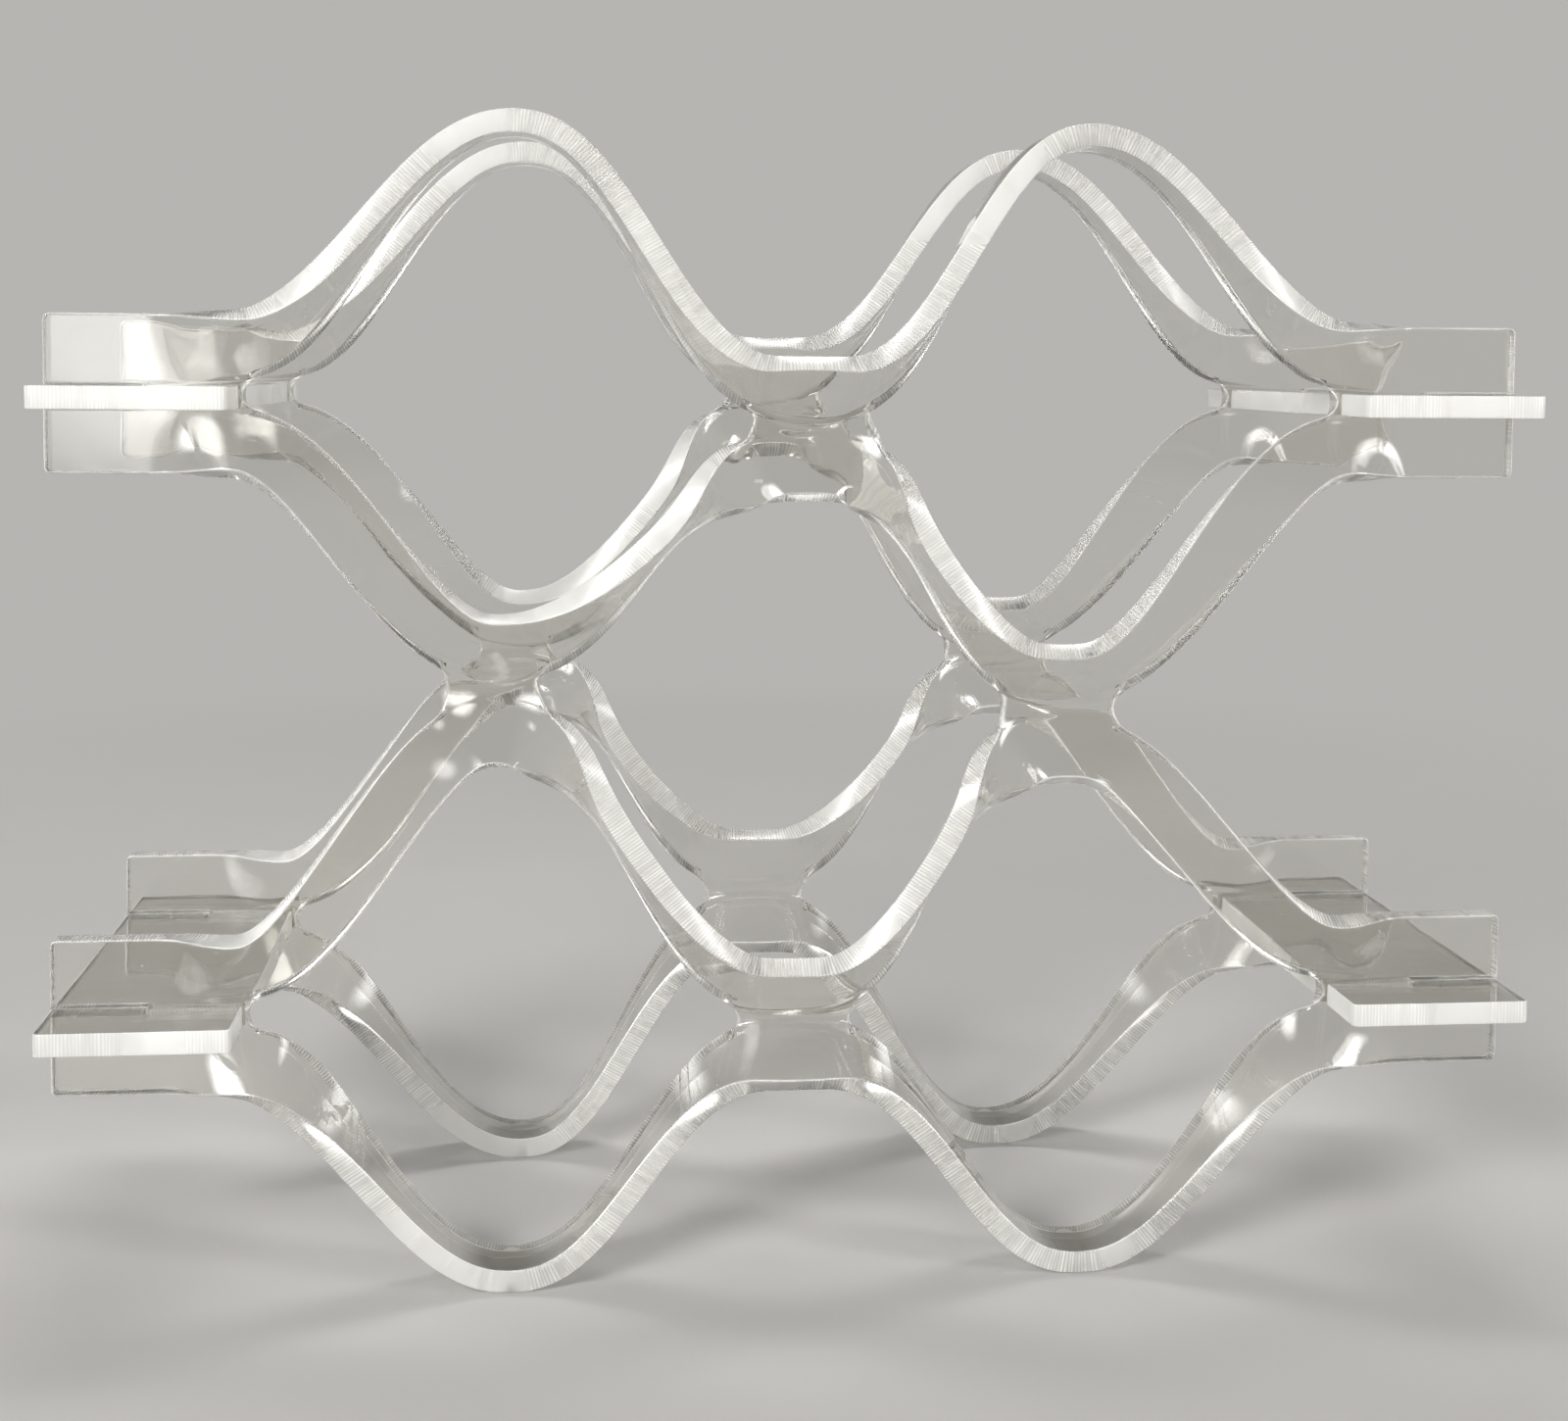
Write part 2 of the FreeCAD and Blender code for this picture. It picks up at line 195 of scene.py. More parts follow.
def root_stop(level, upper):
    """Y, Z and lean of a strip where a tab's slit ends, its edge still beside the slit."""
    lean = root_lean_outward if upper else root_lean_inward
    side = 1 if upper else -1
    turn = math.radians(lean)
    from_slit = half_strip * math.cos(turn) + root_lift
    y = half_sheet - half_strip * math.sin(turn)
    return y, level + side * (slit_width / 2 + from_slit), side * lean


def neck_stop(neck, upper):
    """Y, Z and lean of the strip above or below a neck, whose row is bent to an arc."""
    _, neck_z, _, lean_above, lean_below = neck
    arc_radius = slit_width / math.radians(lean_above + lean_below)
    lean = lean_above if upper else lean_below
    side = 1 if upper else -1
    turn = math.radians(lean)
    y = half_sheet + neck_set_back - arc_radius * (1 - math.cos(turn)) - half_strip * math.sin(turn)
    z = neck_z + side * (arc_radius * math.sin(turn) + half_strip * math.cos(turn))
    return y, z, side * lean


def neck_span(neck):
    """Where the bends beside a neck begin, on its left and on its right."""
    neck_x, _, width, _, _ = neck
    half_flat = width / 2 - neck_lead
    return neck_x - half_flat, neck_x + half_flat


def tab_stops(level, upper, way, lean_way):
    """Stops (x, y, z, lean, way, lean way) of a strip in its left tab, and in its right tab."""
    tab_z = level + (row_pitch if upper else -row_pitch) / 2
    root = root_stop(level, upper)
    left = [(-half_width, half_sheet, tab_z, 0.0, plain_way, plain_way),
            (-flat_x, half_sheet, tab_z, 0.0, plain_way, plain_way),
            (-slit_x, *root, plain_way, plain_way)]
    right = [(slit_x, *root, mirrored(way), mirrored(lean_way)),
             (flat_x, half_sheet, tab_z, 0.0, plain_way, plain_way),
             (half_width, half_sheet, tab_z, 0.0, plain_way, plain_way)]
    return left, right


def outer_strip(level, upper, neck, crests):
    """The first or the fourth strip: over a free crest, by a neck, and over another crest. On the
    crests it is edge-on."""
    side = 1 if upper else -1
    left, right = tab_stops(level, upper, outer_from_tab, outer_turning)
    neck_at = neck_stop(neck, upper)
    start, end = neck_span(neck)
    first, second = [(x, half_sheet, z - side * half_sheet, side * edge_on) for x, z in crests]
    return left + [
        (*first, outer_from_tab, outer_turning),
        (start, *neck_at, outer_between, mirrored(outer_turning)),
        (end, *neck_at, plain_way, plain_way),
        (*second, outer_between, outer_turning),
    ] + right


def inner_strip(level, upper, necks):
    """The second or the third strip: joined in turn at three necks, and turned nearly edge-on between.
    A stop without Y and Z only turns the strip."""
    left, right = tab_stops(level, upper, inner_from_tab, plain_way)
    stops = list(left)
    for number, (neck, above) in enumerate(necks):
        neck_at = neck_stop(neck, above)
        start, end = neck_span(neck)
        before, lean_before = stops[-1][0], stops[-1][3]
        if number > 0:
            share = mid_leg_place if lean_before > 0 else 1 - mid_leg_place
            stops.append((before + (start - before) * share, None, None, mid_leg_lean, None, plain_way))
        elif upper:
            stops.append(((before + start) / 2, None, None, third_root_leg_lean, None, plain_way))
        stops.append((start, *neck_at, inner_from_tab if number == 0 else inner_between, plain_way))
        stops.append((end, *neck_at, plain_way, plain_way))
    if upper:
        stops.append(((stops[-1][0] + slit_x) / 2, None, None, third_root_leg_lean, None, plain_way))
    return stops + right


def strips_of(form):
    """The four strips of a panel, from the top down."""
    high, low = upper_level + tab_rise, lower_level + tab_rise
    left, right, centre_high, centre_low = (form[k] for k in ("left", "right", "centre_high", "centre_low"))
    return [
        outer_strip(high, True, centre_high, form["crests"]),
        inner_strip(high, False, [(left, True), (centre_high, False), (right, True)]),
        inner_strip(low, True, [(left, False), (centre_low, True), (right, False)]),
        outer_strip(low, False, centre_low, form["troughs"]),
    ]


def row_point(above, below, x, share):
    """The row between two strips: a cubic Bezier arc that leaves each strip straight, or in a tab,
    where a board grips it, a straight line down with its facing turned evenly from strip to strip."""
    least_fold = 1e-3
    along_above, across_above, through_above = strip_directions(above, x)
    along_below, across_below, through_below = strip_directions(below, x)
    start = strip_middle(above, x) - across_above * half_strip
    end = strip_middle(below, x) + across_below * half_strip
    reach = np.linalg.norm(end - start, axis=-1, keepdims=True)
    cosine = np.sum(across_above * across_below, -1, keepdims=True)
    fold = np.maximum(np.arccos(np.clip(cosine, -1, 1)), least_fold)
    handle = 4 / 3 * np.tan(fold / 4) * reach / (2 * np.sin(fold / 2))
    after_start = start - across_above * handle
    before_end = end + across_below * handle
    rest = 1 - share
    arc = (start * rest ** 3 + after_start * 3 * rest ** 2 * share
           + before_end * 3 * rest * share ** 2 + end * share ** 3)
    down = ((after_start - start) * rest ** 2 + (before_end - after_start) * 2 * rest * share
            + (end - before_end) * share ** 2)
    arc_through = unit(np.cross(along_above + along_below, down))
    flat = start * rest + end * share
    flat_through = unit(through_above * rest + through_below * share)
    in_tab = (np.abs(x) > slit_x - slit_width)[:, None]
    return np.where(in_tab, flat, arc), np.where(in_tab, flat_through, arc_through)


def bend_panel(form, face_y):
    """Returns the function that bends a flat panel: a point at X and a distance down the flat sheet
    goes to its strip's middle line plus its offset across, or onto the cubic arc of the row between
    two strips. It gives the middle of the sheet there, and the unit vector backwards through it."""
    strips = strips_of(form)
    last = len(strips) - 1

    def bend(x, down):
        place = np.zeros(x.shape + (3,))
        through = np.zeros(x.shape + (3,))
        row_number = np.clip(np.floor(down / row_pitch), 0, last).astype(int)
        within = down - row_number * row_pitch
        on_strip = (within <= strip_width) | (row_number == last)
        for number, strip in enumerate(strips):
            mine = on_strip & (row_number == number)
            middle = strip_middle(strip, x[mine])
            _, across, back = strip_directions(strip, x[mine])
            place[mine] = middle + across * (half_strip - within[mine])[:, None]
            through[mine] = back
        for number in range(last):
            mine = ~on_strip & (row_number == number)
            share = ((within[mine] - strip_width) / slit_width)[:, None]
            place[mine], through[mine] = row_point(strips[number], strips[number + 1], x[mine], share)
        place[:, 1] += face_y
        return place, through

    return bend


def lay_board(level):
    """Returns the function that lays a board level: X stays, the distance down is forwards."""
    def lay(x, down):
        place = np.stack([x, -down, np.full(x.shape, level)], -1)
        through = np.zeros(place.shape)
        through[:, 2] = -1.0
        return place, through
    return lay


# ------------------------------------------------------------------ the flat cut sheets

def lines_through(marks, step):
    """Lines from the first mark to the last, evenly spaced between marks, with one at each mark."""
    marks = np.sort(np.asarray(marks, float))
    marks = marks[np.r_[True, np.diff(marks) > same_place]]
    parts = [np.linspace(a, b, max(1, math.ceil((b - a) / step)) + 1)[:-1]
             for a, b in zip(marks, marks[1:])]
    return np.concatenate(parts + [marks[-1:]])


def middles_of(lines):
    """Halfway between each two lines."""
    return (lines[1:] + lines[:-1]) / 2


def round_corners(x, down, centre_x, centre_down, half_x, half_down, radius):
    """Rounds a rectangle's corners: in each corner's square of side 'radius' the square (a, b) is
    mapped to the disc (a sqrt(1 - b^2/2), b sqrt(1 - a^2/2))."""
    from_x, from_down = x - centre_x, down - centre_down
    a = (np.abs(from_x) - (half_x - radius)) / radius
    b = (np.abs(from_down) - (half_down - radius)) / radius
    corner = (a > 0) & (b > 0) & (a <= 1 + same_place) & (b <= 1 + same_place)
    new_a = np.where(corner, a * np.sqrt(np.maximum(1 - b * b / 2, 0)), a)
    new_b = np.where(corner, b * np.sqrt(np.maximum(1 - a * a / 2, 0)), b)
    new_x = centre_x + np.sign(from_x) * (half_x - radius + new_a * radius)
    new_down = centre_down + np.sign(from_down) * (half_down - radius + new_b * radius)
    return np.where(corner, new_x, x), np.where(corner, new_down, down)


def quads_of(keep, shape):
    """The corners of the kept cells of a grid, counter-clockwise seen from in front."""
    index = np.arange(shape[0] * shape[1]).reshape(shape)
    cells = np.stack([index[:-1, :-1], index[1:, :-1], index[1:, 1:], index[:-1, 1:]], -1)
    return cells[keep]


def panel_lines():
    """The lines down a panel: the place of each, and how deep a slit's round end cuts in there,
    which is the notch's radius times a sine. Also where each strip and each row starts among them."""
    angle = np.pi * np.arange(1, notch_steps) / notch_steps
    row_lines = strip_width + slit_width * (1 - np.cos(angle)) / 2
    downs, cuts = [], []
    for number in range(4):
        downs.append(strip_lines + number * row_pitch)
        cuts.append(np.zeros(len(strip_lines)))
        if number < 3:
            downs.append(row_lines + number * row_pitch)
            cuts.append(notch_radius * np.sin(angle))
    starts = np.cumsum([0] + [len(lines) for lines in downs])
    return np.concatenate(downs), np.concatenate(cuts), starts


def flat_panel(form):
    """The slit sheet before it is bent, as a grid of lines down by stations along X. The lines of a
    slit row are kept only where the row joins its strips, and their ends are pulled in to the round
    notch, less and less over the fade. In the tabs the lines beside a slot are slid to the slot's
    edges, and the slot's cells left out."""
    slide_reach = 8.0                   # how far above and below a slot the lines slide with it
    slide_start = 12.0                  # from the slit's end, where they begin to slide
    slide_margin = 2.0                  # before the slot, where they have slid all the way
    necks = [form[k] for k in ("centre_high", "left", "right", "centre_low")]
    reaches = [(neck_x - width / 2 - notch_radius, neck_x + width / 2 + notch_radius)
               for neck_x, _, width, _, _ in necks]
    notch_x = slit_x - notch_radius
    tab_reaches = [(-slot_x, -notch_x), (notch_x, slot_x)]
    joins = ([reaches[0]] + tab_reaches, reaches[1:3], [reaches[3]] + tab_reaches)
    x_lines = lines_through([-half_width, -half_width + tab_corner_radius, -slot_x, -notch_x,
                             *np.ravel(reaches), notch_x, slot_x,
                             half_width - tab_corner_radius, half_width], station_step)
    down, cut, starts = panel_lines()
    x = np.repeat(x_lines[None, :], len(down), 0)
    y = np.repeat(down[:, None], len(x_lines), 1)
    middles = middles_of(x_lines)
    keep = np.ones((len(down) - 1, len(middles)), bool)
    for row, row_reaches in enumerate(joins):
        lines = slice(starts[2 * row + 1], starts[2 * row + 2])
        cells = slice(lines.start - 1, lines.stop)
        joined = np.zeros(len(middles), bool)
        for low, high in row_reaches:
            joined |= (middles > low) & (middles < high)
            inside = (x_lines > low - same_place) & (x_lines < high + same_place)
            for end, inwards in ((low, 1), (high, -1)):
                if abs(end) != slot_x:
                    near = np.clip(1 - np.abs(x_lines - end) / notch_fade, 0, 1) * inside
                    x[lines] += inwards * cut[lines, None] * near[None, :]
        keep[cells] = joined[None, :]
    amount = np.clip((np.abs(x_lines) - slit_x - slide_start)
                     / (slot_x - slit_x - slide_start - slide_margin), 0, 1)
    for row in (0, 2):
        top = row * row_pitch + strip_width
        slid = np.interp(down, [top - slide_reach, top, top + slit_width, top + slit_width + slide_reach],
                         [0.0, tab_rise - joint_clearance, tab_rise + joint_clearance, 0.0])
        y += slid[:, None] * amount[None, :]
        x, y = round_corners(x, y, 0.0, top + slit_width / 2, half_width, row_pitch / 2 + half_strip,
                             tab_corner_radius)
    return x, y, keep


def flat_board(side):
    """A board before its edges are softened: a grid over its plan with its two slots left out."""
    inner, outer = slit_x, half_width
    slot_end = slit_x + tab_length / 2 + slot_end_clearance
    slots = [(y - joint_clearance, y + sheet + joint_clearance)
             for y in (front_face, front_face + panel_spacing)]
    x_marks = [inner, *(inner + near_edge), slot_end, *(outer - near_edge), outer]
    y_marks = [-half_depth, *(-half_depth + near_edge), *(half_depth - near_edge), half_depth]
    for low, high in slots:
        y_marks += [*(low - near_edge), low, high, *(high + near_edge)]
    x_lines = lines_through(x_marks, board_step)
    y_lines = lines_through(y_marks, board_step)
    x, y = np.meshgrid(x_lines, -y_lines[::-1])
    mid_x, mid_y = middles_of(x_lines), -middles_of(y[:, 0])
    keep = np.ones((len(mid_y), len(mid_x)), bool)
    for low, high in slots:
        in_slot = (mid_y > low) & (mid_y < high)
        keep &= ~(in_slot[:, None] & (mid_x < slot_end)[None, :])
    x, y = round_corners(x, y, (inner + outer) / 2, 0.0, (outer - inner) / 2, half_depth,
                         board_corner_radius)
    if side < 0:
        x, y, keep = -x[:, ::-1], y[:, ::-1], keep[:, ::-1]
    return x, y, keep


# ------------------------------------------------------------------ from flat sheet to solid piece

def waves(place, seed, kind):
    """A sum of sine waves over the flat sheet, in random directions, of lengths between the two."""
    shortest, longest, count = kind
    rng = np.random.default_rng(seed)
    heading = rng.uniform(0, 2 * np.pi, count)
    length = np.exp(rng.uniform(math.log(shortest), math.log(longest), count))
    phase = rng.uniform(0, 2 * np.pi, count)
    turns = (place[:, :1] * np.cos(heading) + place[:, 1:2] * np.sin(heading)) / length
    return np.sin(2 * np.pi * turns + phase).sum(1) / math.sqrt(count)


def run_along(grid_x, grid_y, bend):
    """The distance along each line of the bent sheet, from the station in the middle: the steps
    between its points, added up."""
    middle, _ = bend(grid_x.ravel(), grid_y.ravel())
    steps = np.linalg.norm(np.diff(middle.reshape(grid_x.shape + (3,)), axis=1), axis=-1)
    run = np.concatenate([np.zeros((len(steps), 1)), np.cumsum(steps, 1)], 1)
    centre = grid_x.shape[1] // 2
    return run - run[:, centre:centre + 1]


def outline_of(quads, count):
    """Where the outline's edges start and stop: the directed edges whose reverse no cell uses."""
    start, stop = quads.ravel(), np.roll(quads, -1, 1).ravel()
    alone = ~np.isin(start * count + stop, stop * count + start)
    return start[alone], stop[alone]


def rim_of(x, y, start, stop):
    """The outline's points, and for each the outward vector that moves both of its edges by one: the
    sum of the edges' outward units, over one plus their dot product. At sharper corners than the
    least product it stops growing."""
    least_product = 0.5
    step = np.stack([x[stop] - x[start], -(y[stop] - y[start])], -1)
    out = unit(np.stack([step[:, 1], -step[:, 0]], -1))
    leaving, arriving = np.zeros((len(x), 2)), np.zeros((len(x), 2))
    leaving[start], arriving[stop] = out, out
    rim = np.unique(start)
    product = 1 + np.sum(leaving[rim] * arriving[rim], -1, keepdims=True)
    outward = (leaving[rim] + arriving[rim]) / np.maximum(product, least_product)
    outward[:, 1] *= -1
    return rim, outward


def pulled_in(quads, rim, outward, count):
    """How far a face's points move so that the face stops short of its outline: by the softening at
    the outline, and inside by the mean of the neighbours' moves, taken round after round."""
    at_rim = -outward * edge_softening
    pulled = np.zeros((count, 2))
    pulled[rim] = at_rim
    pair = np.stack([quads, np.roll(quads, -1, 1)], -1).reshape(-1, 2)
    pair = np.unique(np.sort(pair, 1), axis=0)
    neighbours = np.bincount(pair.ravel(), minlength=count)[:, None]
    for _ in range(easing_rounds):
        total = np.stack([np.bincount(pair[:, 0], pulled[pair[:, 1], k], count)
                          + np.bincount(pair[:, 1], pulled[pair[:, 0], k], count) for k in (0, 1)], -1)
        pulled = total / neighbours
        pulled[rim] = at_rim
    return pulled


def thick_piece(name, flat, bend, seed, heights):
    """A closed piece from a flat grid. Both faces are the bent middle, moved half the sheet along the
    facing, less low waves. Along the outline they stop short by the softening radius, and quarter
    circles and a wall join them, drawn in by low ripples. The point attribute flat_place holds the
    distance along the sheet, down it and through it, in metres. cut_edge is 1 on the wall, a half
    on the faces' outline, and 0 inside it."""
    wave_height, ripple_height = heights
    grid_x, grid_y, keep = flat
    used, quads = np.unique(quads_of(keep, grid_x.shape), return_inverse=True)
    quads = quads.reshape(-1, 4)
    run = run_along(grid_x, grid_y, bend).ravel()[used]
    x, y = grid_x.ravel()[used], grid_y.ravel()[used]
    count = len(x)
    start, stop = outline_of(quads, count)
    rim, outward = rim_of(x, y, start, stop)
    pulled = pulled_in(quads, rim, outward, count)
    face_y = y + pulled[:, 1]
    middle, through = bend(x + pulled[:, 0], face_y)
    flat_place = np.stack([run + pulled[:, 0], face_y], -1)
    edge_share = np.zeros(count)
    edge_share[rim] = 0.5
    places, notes = [], []
    for side in (-1, 1):
        dip = wave_height * (1 - np.tanh(waves(flat_place, seed + side, face_waves)))
        height = side * (half_sheet - dip)
        places.append(middle + through * height[:, None])
        notes.append(np.column_stack([flat_place, np.full(count, side * half_sheet), edge_share]))
    # rings round both softened edges, from the front's outline to the back's
    quarter = np.linspace(0, np.pi / 2, softening_steps + 1)[1:]
    inset = edge_softening * (1 - np.sin(quarter))
    depth = half_sheet - edge_softening * (1 - np.cos(quarter))
    rim_place, ripple_seed = np.stack([run[rim], y[rim]], -1), seed + 7
    ripple = ripple_height * (1 + np.tanh(waves(rim_place, ripple_seed, edge_ripples)))
    for ring_inset, ring_depth in zip(np.r_[inset, inset[::-1]], np.r_[-depth, depth[::-1]]):
        pull = (ring_inset + ripple)[:, None] * outward
        ring_y = y[rim] - pull[:, 1]
        ring_middle, ring_through = bend(x[rim] - pull[:, 0], ring_y)
        places.append(ring_middle + ring_through * ring_depth)
        notes.append(np.column_stack([run[rim], ring_y, np.full(len(rim), ring_depth), np.ones(len(rim))]))
    # each edge of the outline, on the front, on every ring and on the back
    to_rim = np.full(count, -1)
    to_rim[rim] = np.arange(len(rim))
    rings = 2 * softening_steps
    ring_firsts = [2 * count + k * len(rim) for k in range(rings)]
    starts, stops = ([ends] + [first + to_rim[ends] for first in ring_firsts] + [count + ends]
                     for ends in (start, stop))
    walls = [np.stack([stops[k], starts[k], starts[k + 1], stops[k + 1]], -1) for k in range(rings + 1)]
    faces = np.concatenate([quads, quads[:, ::-1] + count] + walls)
    points = np.concatenate(places)
    points[:, 2] = np.maximum(points[:, 2], 0.0)    # the feet are pressed flat on the floor
    return write_mesh(name, points * MM, faces, np.concatenate(notes))


def write_mesh(name, points, faces, notes):
    """Puts points and four-cornered faces into a smooth mesh, with its two attributes."""
    mesh = bpy.data.meshes.new(name)
    mesh.vertices.add(len(points))
    mesh.vertices.foreach_set("co", points.astype(np.float32).ravel())
    mesh.loops.add(faces.size)
    mesh.loops.foreach_set("vertex_index", faces.astype(np.int32).ravel())
    mesh.polygons.add(len(faces))
    mesh.polygons.foreach_set("loop_start", np.arange(0, faces.size, 4, dtype=np.int32))
    mesh.polygons.foreach_set("use_smooth", np.ones(len(faces), bool))
    mesh.update(calc_edges=True)
    place = mesh.attributes.new("flat_place", "FLOAT_VECTOR", "POINT")
    place.data.foreach_set("vector", (notes[:, :3] * MM).astype(np.float32).ravel())
    edge = mesh.attributes.new("cut_edge", "FLOAT", "POINT")
    edge.data.foreach_set("value", notes[:, 3].astype(np.float32))
    mesh.validate()
    return link_object(name, mesh)


def link_object(name, data):
    """A new object with this data, in the scene."""
    made = bpy.data.objects.new(name, data)
    bpy.context.scene.collection.objects.link(made)
    return made


# ------------------------------------------------------------------ finishes

acrylic_colour = (0.93, 0.925, 0.90, 1.0)
colour_in_depth = (0.90, 0.89, 0.80, 1.0)
absorption = 14.0
refraction = 1.49
relief_depth = 0.00012
saw_bands = 330.0                   # about one line per millimetre


def node(tree, kind, inputs=None, **settings):
    """Adds a shader node, with settings on the node and values on its inputs."""
    made = tree.nodes.new(kind)
    for key, value in settings.items():
        setattr(made, key, value)
    for key, value in (inputs or {}).items():
        if isinstance(value, bpy.types.NodeSocket):
            tree.links.new(value, made.inputs[key])
        else:
            made.inputs[key].default_value = value
    return made


def empty_tree(owner):
    """The node tree of a material, light or world, with nothing in it."""
    owner.use_nodes = True
    owner.node_tree.nodes.clear()
    return owner.node_tree


def stretched(tree, vector, scale, turn=0.0):
    """The sheet's own coordinates, turned in the sheet's plane and stretched."""
    return node(tree, "ShaderNodeMapping",
                {"Vector": vector, "Scale": scale, "Rotation": (0.0, 0.0, turn)}).outputs[0]


def between(tree, value, low, high, to_low, to_high):
    """A value in a range, carried over to another range."""
    return node(tree, "ShaderNodeMapRange", {"Value": value, "From Min": low, "From Max": high,
                                             "To Min": to_low, "To Max": to_high}).outputs[0]


def sums(tree, operation, *values):
    """Arithmetic on two or three values."""
    return node(tree, "ShaderNodeMath", dict(enumerate(values)), operation=operation).outputs[0]


def noise(tree, vector, scale, detail=2.0, roughness=0.5):
    """Smooth noise, finer the larger its scale."""
    return node(tree, "ShaderNodeTexNoise", {"Vector": vector, "Scale": scale, "Detail": detail,
                                             "Roughness": roughness}).outputs[0]


def hair_scratches(tree, place):
    """1 on long fine scratches in three directions, which are the peaks of a drawn-out noise."""
    drawn_out = ((0.35, 18.0, 900.0), (-0.9, 22.0, 1100.0), (1.4, 14.0, 760.0))    # turn, along, across
    lines = [between(tree, noise(tree, stretched(tree, place, (along, across, 40.0), turn), 1.0),
                     0.68, 0.76, 0.0, 1.0) for turn, along, across in drawn_out]
    return sums(tree, "MAXIMUM", sums(tree, "MAXIMUM", lines[0], lines[1]), lines[2])


def few_specks(tree, place):
    """1 in the middle of about one in eight cells of a fine pattern."""
    cells = node(tree, "ShaderNodeTexVoronoi", {"Vector": place, "Scale": 95.0})
    near = between(tree, cells.outputs["Distance"], 0.030, 0.045, 1.0, 0.0)
    chosen = node(tree, "ShaderNodeSeparateColor", {"Color": cells.outputs["Color"]}).outputs[0]
    return sums(tree, "MULTIPLY", near, between(tree, chosen, 0.86, 0.88, 0.0, 1.0))


def saw_lines(tree, place):
    """Lines across the thickness, some of them deeper than others."""
    teeth = node(tree, "ShaderNodeTexWave", {
        "Vector": stretched(tree, place, (1.0, 0.04, 0.10)), "Scale": saw_bands,
        "Distortion": 4.0, "Detail": 3.0, "Detail Scale": 1.1}, wave_type="BANDS", bands_direction="X")
    uneven = noise(tree, stretched(tree, place, (360.0, 20.0, 60.0)), 1.0, 3.0, 0.65)
    return sums(tree, "MULTIPLY", teeth.outputs["Fac"], between(tree, uneven, 0.35, 0.75, 0.05, 1.0))


def polished_acrylic(name, frost_and_painted_highlight, evenness, saw_depth):
    """Clear sheet with polished faces and sawn, flame-polished edges. On the faces: haze, hair
    scratches and a few specks. On the edges: saw lines across the thickness, and a whitening that is
    whitest on the lines and falls to its evenness between them. The whitening is partly the sawn
    edges' frosting and partly painted highlight, standing in for the light that the edges gather by
    inner reflection."""
    material = bpy.data.materials.new(name)
    tree = empty_tree(material)
    place = node(tree, "ShaderNodeAttribute", attribute_name="flat_place").outputs["Vector"]
    edge = node(tree, "ShaderNodeAttribute", attribute_name="cut_edge").outputs["Fac"]
    haze = noise(tree, place, 38.0, 3.0)
    scratches = hair_scratches(tree, place)
    specks = few_specks(tree, place)
    saw = saw_lines(tree, place)
    patches = between(tree, noise(tree, place, 20.0, 1.0), 0.35, 0.65, 0.45, 1.0)
    # how rough
    face_rough = sums(tree, "MULTIPLY_ADD", scratches, 0.10, between(tree, haze, 0.3, 0.8, 0.012, 0.05))
    edge_rough = between(tree, patches, 0.3, 1.0, 0.12, 0.32)
    rough = node(tree, "ShaderNodeMix", {"Factor": edge, "A": face_rough, "B": edge_rough})
    # how clear: the edges' whitening is partly frosting and partly painted highlight
    milky_and_painted_highlight = between(tree, sums(tree, "MULTIPLY_ADD", saw, 0.9, patches), 0.45, 1.6, evenness, 1.0)
    whitened_with_painted_highlight = sums(tree, "MULTIPLY", milky_and_painted_highlight, sums(tree, "MULTIPLY", edge, frost_and_painted_highlight))
    solid = sums(tree, "ADD", whitened_with_painted_highlight, sums(tree, "MULTIPLY", specks, 0.8))
    clear = sums(tree, "SUBTRACT", 1.0, sums(tree, "MULTIPLY_ADD", scratches, 0.02, solid))
    # how high
    sawn = sums(tree, "MULTIPLY", sums(tree, "MULTIPLY", saw, patches), edge)
    height = sums(tree, "ADD", sums(tree, "MULTIPLY", sawn, saw_depth), sums(tree, "MULTIPLY", haze, 0.35))
    height = sums(tree, "MULTIPLY_ADD", scratches, -0.12, height)
    bump = node(tree, "ShaderNodeBump", {"Height": height, "Strength": 0.35, "Distance": relief_depth})
    shader = node(tree, "ShaderNodeBsdfPrincipled", {
        "Base Color": acrylic_colour, "IOR": refraction, "Roughness": rough.outputs[0],
        "Transmission Weight": clear, "Normal": bump.outputs[0]})
    tint = node(tree, "ShaderNodeVolumeAbsorption", {"Color": colour_in_depth, "Density": absorption})
    node(tree, "ShaderNodeOutputMaterial", {"Surface": shader.outputs[0], "Volume": tint.outputs[0]})
    return material


# the second number is how white the edges are: partly frosting, partly painted highlight
panel_finish = polished_acrylic("polished_panel_acrylic", 0.66, 0.20, 0.32)
board_finish = polished_acrylic("polished_board_acrylic", 0.78, 0.65, 0.12)
for cad_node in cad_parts.values():
    cad_node.data.materials.clear()
    cad_node.data.materials.append(panel_finish)

# ------------------------------------------------------------------ the rack

for node_name, form, face_y, seed in (("front_panel", front_form, front_face, 11),
                                      ("back_panel", back_form, front_face + panel_spacing, 23)):
    lattice = thick_piece(node_name.replace("panel", "lattice"), flat_panel(form), bend_panel(form, face_y),
                          seed, panel_heights)
    lattice.data.materials.append(panel_finish)
    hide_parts(node_name)
    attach(lattice, "panels")

for level_name, level in (("upper", upper_level), ("lower", lower_level)):
    for side_name, side in (("left", -1), ("right", 1)):
        node_name = level_name + "_" + side_name + "_board"
        seed = 31 + 10 * side + round(level)
        plate = thick_piece(node_name.replace("board", "plate"), flat_board(side), lay_board(level),
                            seed, board_heights)
        plate.data.materials.append(board_finish)
        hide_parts(node_name)
        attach(plate, node_name + "_body")

# ------------------------------------------------------------------ studio

pale = (0.47, 0.46, 0.445, 1.0)
dark_ceiling = (0.035, 0.032, 0.03, 1.0)


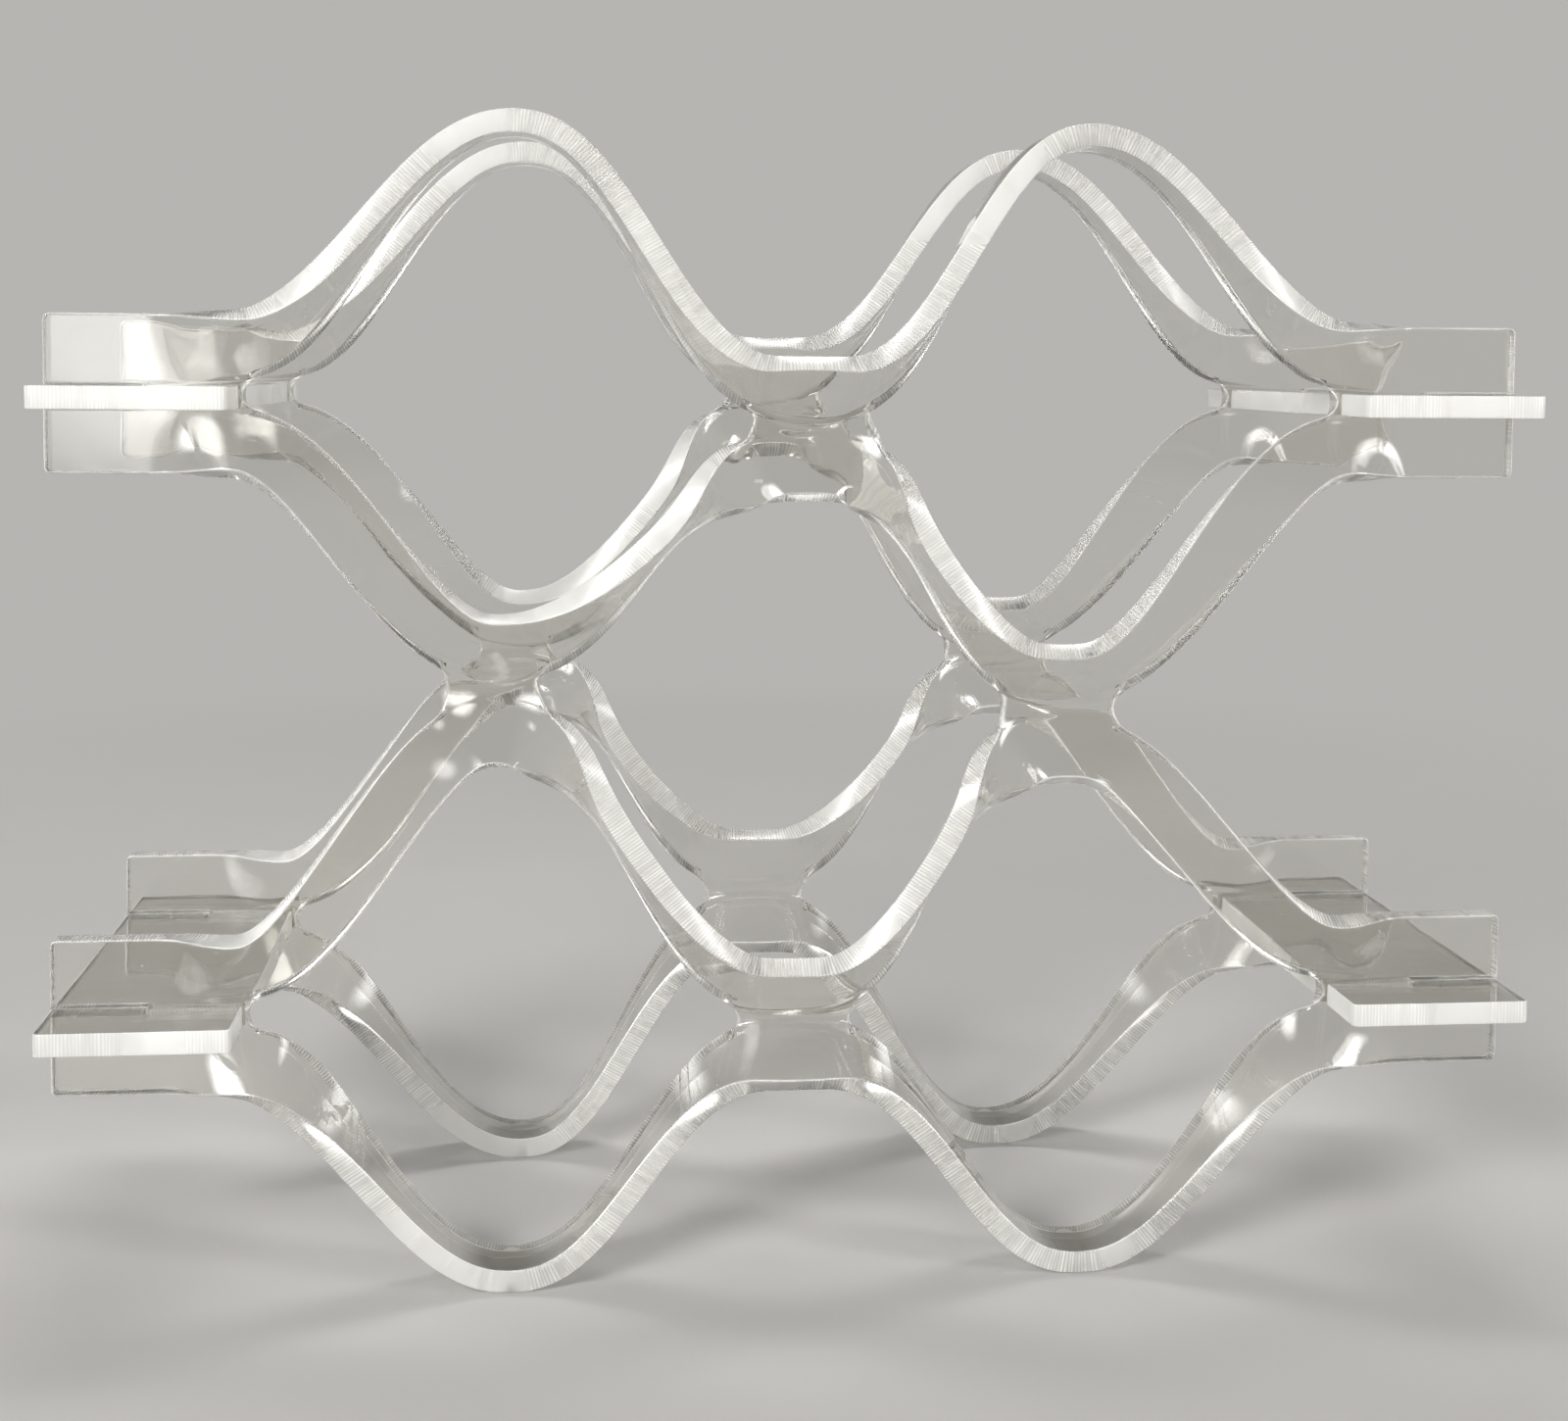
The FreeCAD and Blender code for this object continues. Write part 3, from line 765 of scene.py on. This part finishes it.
def studio_world():
    """Pale all round for the camera. For light and for what the acrylic shows, it is pale at the
    horizon and falls off to a darker ceiling."""
    world = bpy.data.worlds.new("studio")
    bpy.context.scene.world = world
    tree = empty_tree(world)
    heading = node(tree, "ShaderNodeTexCoord").outputs["Generated"]
    up = node(tree, "ShaderNodeSeparateXYZ", {"Vector": heading}).outputs["Z"]
    ramp = node(tree, "ShaderNodeValToRGB", {"Fac": up})
    horizon, ceiling = ramp.color_ramp.elements
    horizon.position, horizon.color = 0.06, pale
    ceiling.position, ceiling.color = 0.4, dark_ceiling
    around = node(tree, "ShaderNodeBackground", {"Color": ramp.outputs[0], "Strength": 1.0})
    behind = node(tree, "ShaderNodeBackground", {"Color": pale, "Strength": 1.0})
    camera_ray = node(tree, "ShaderNodeLightPath").outputs["Is Camera Ray"]
    both = node(tree, "ShaderNodeMixShader", {0: camera_ray, 1: around.outputs[0], 2: behind.outputs[0]})
    node(tree, "ShaderNodeOutputWorld", {"Surface": both.outputs[0]})


def studio_floor():
    """A wide pale floor that turns evenly into the colour of the horizon away from the rack."""
    reach, level = 40.0, -0.0004                # just under the feet
    mesh = bpy.data.meshes.new("floor")
    mesh.from_pydata([(-reach, -reach, level), (reach, -reach, level), (reach, reach, level),
                      (-reach, reach, level)], [], [(0, 1, 2, 3)])
    floor = link_object("floor", mesh)
    material = bpy.data.materials.new("pale_floor")
    tree = empty_tree(material)
    where = node(tree, "ShaderNodeTexCoord").outputs["Object"]
    away = node(tree, "ShaderNodeVectorMath", {0: where}, operation="LENGTH").outputs["Value"]
    far = node(tree, "ShaderNodeMapRange", {"Value": away, "From Min": 0.35, "From Max": 1.15},
               interpolation_type="SMOOTHSTEP").outputs[0]
    shade = node(tree, "ShaderNodeMix", {
        "Factor": noise(tree, where, 9.0, 4.0),
        "A": (0.45, 0.44, 0.425, 1.0), "B": (0.48, 0.47, 0.455, 1.0)}, data_type="RGBA")
    near = node(tree, "ShaderNodeBsdfDiffuse", {"Color": shade.outputs["Result"]})
    horizon = node(tree, "ShaderNodeEmission", {"Color": pale, "Strength": 1.0})
    both = node(tree, "ShaderNodeMixShader", {0: far, 1: near.outputs[0], 2: horizon.outputs[0]})
    node(tree, "ShaderNodeOutputMaterial", {"Surface": both.outputs[0]})
    mesh.materials.append(material)


def soft_light(name, place, aim, width, height, watts):
    """A rectangular soft light at a place, facing a point, that fades from its middle outwards."""
    lamp = bpy.data.lights.new(name, "AREA")
    lamp.shape = "RECTANGLE"
    lamp.size, lamp.size_y, lamp.energy = width, height, watts
    tree = empty_tree(lamp)
    across = node(tree, "ShaderNodeNewGeometry").outputs["Parametric"]
    off_centre = node(tree, "ShaderNodeVectorMath", {0: across, 1: (0.5, 0.5, 0.0)}, operation="SUBTRACT")
    distance = node(tree, "ShaderNodeVectorMath", {0: off_centre.outputs[0]}, operation="LENGTH")
    fading = node(tree, "ShaderNodeMapRange", {
        "Value": distance.outputs["Value"], "From Min": 0.1, "From Max": 0.55,
        "To Min": 1.7, "To Max": 0.0}, interpolation_type="SMOOTHSTEP")
    glow = node(tree, "ShaderNodeEmission", {"Strength": fading.outputs[0]})
    node(tree, "ShaderNodeOutputLight", {"Surface": glow.outputs[0]})
    light = link_object(name, lamp)
    facing = np.array(place) - np.array(aim)
    tilt = math.atan2(math.hypot(facing[0], facing[1]), facing[2])
    turn = math.atan2(facing[0], -facing[1])
    light.location = place
    light.rotation_euler = (tilt, 0.0, turn)


studio_world()
studio_floor()
centre = (0.0, 0.0, 0.16)
soft_light("left_soft_light", (-1.2, -1.6, 1.1), centre, 1.2, 1.4, 86.0)
soft_light("right_soft_light", (1.5, -1.1, 0.8), centre, 0.5, 1.4, 30.0)
soft_light("top_soft_light", (0.1, 0.6, 1.6), centre, 1.4, 0.6, 20.0)
soft_light("left_rim_light", (-1.2, 0.9, 0.5), centre, 0.5, 1.2, 7.0)
soft_light("right_rim_light", (1.3, 0.8, 0.5), centre, 0.5, 1.2, 7.0)
soft_light("tab_light", (-0.50, -1.6, 0.28), (-0.18, -0.05, 0.25), 0.34, 0.36, 1.2)

# ------------------------------------------------------------------ camera

camera_data = bpy.data.cameras.new("camera")
camera_data.lens = 48.737
camera_data.sensor_width = 36.0
camera_data.shift_y = -0.14
camera_data.clip_start = 0.01
camera = link_object("camera", camera_data)
camera.location = (-0.06537, -0.64232, 0.25828)
camera.rotation_euler = (math.radians(86.64), -0.0087, -0.101)
bpy.context.scene.camera = camera
bpy.context.scene.view_settings.view_transform = "Standard"
